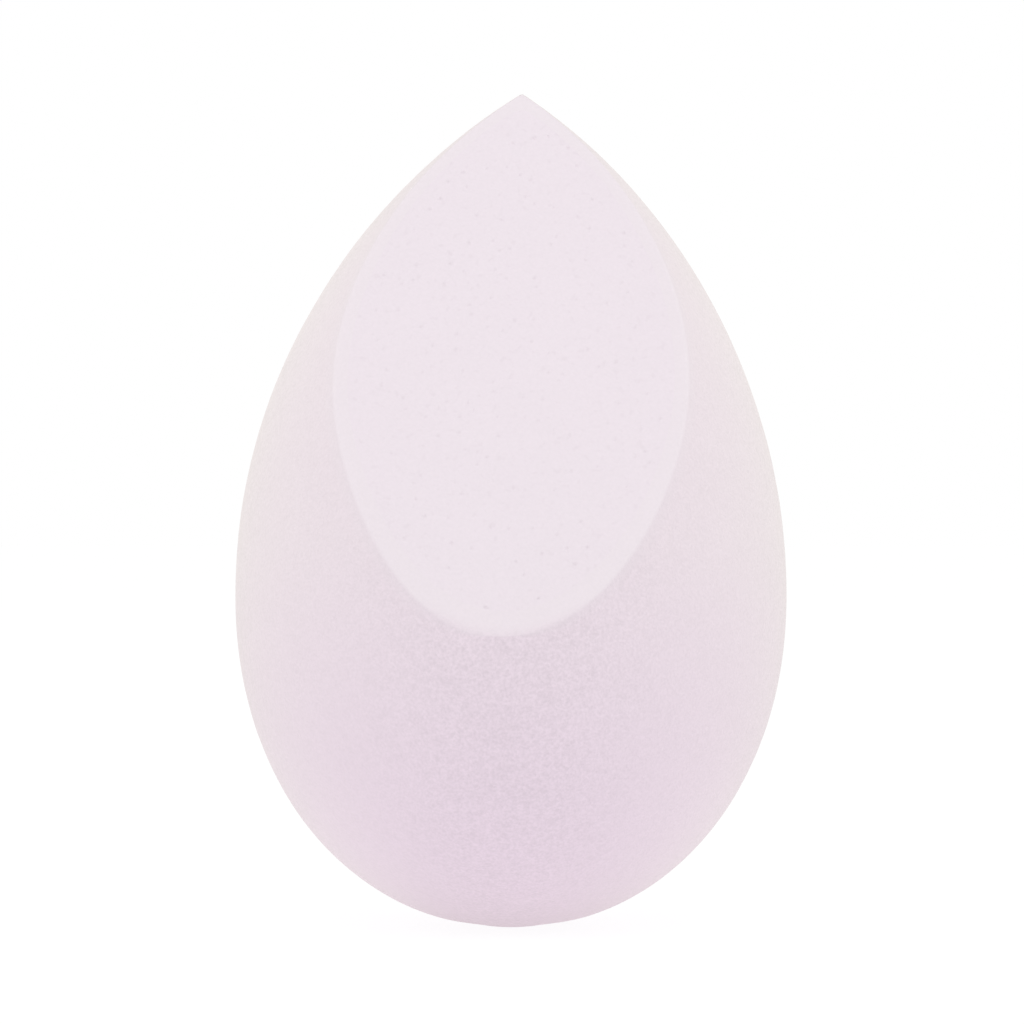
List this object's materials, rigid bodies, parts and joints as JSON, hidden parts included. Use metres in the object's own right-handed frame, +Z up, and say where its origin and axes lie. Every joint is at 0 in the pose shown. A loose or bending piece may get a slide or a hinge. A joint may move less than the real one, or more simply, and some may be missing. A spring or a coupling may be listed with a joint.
{
  "type": "makeup sponge",
  "caption": "Teardrop makeup sponge: soft foam core in a fine napped skin, round base, pointed tip and a slanted flat cut for dabbing and blending liquid or cream make-up.",
  "frame": {"origin": "centre of the small flat that the round base rests on", "axes": "+Z runs up the long axis to the tip; -Y is the side with the slanted cut; +X is to the right of it"},
  "size_m": [0.0398, 0.0397, 0.06],
  "materials": {
    "cut_foam": "pale lilac-pink fine-celled polyurethane foam, cut smooth, matt, with scattered tiny open pores",
    "napped_skin": "lilac-pink velvety foam skin with a short fine nap, matt, paler where it turns away"
  },
  "bodies": {
    "root": {"foam_core": "cut_foam", "outer_skin": "napped_skin"}
  },
  "joints": []
}
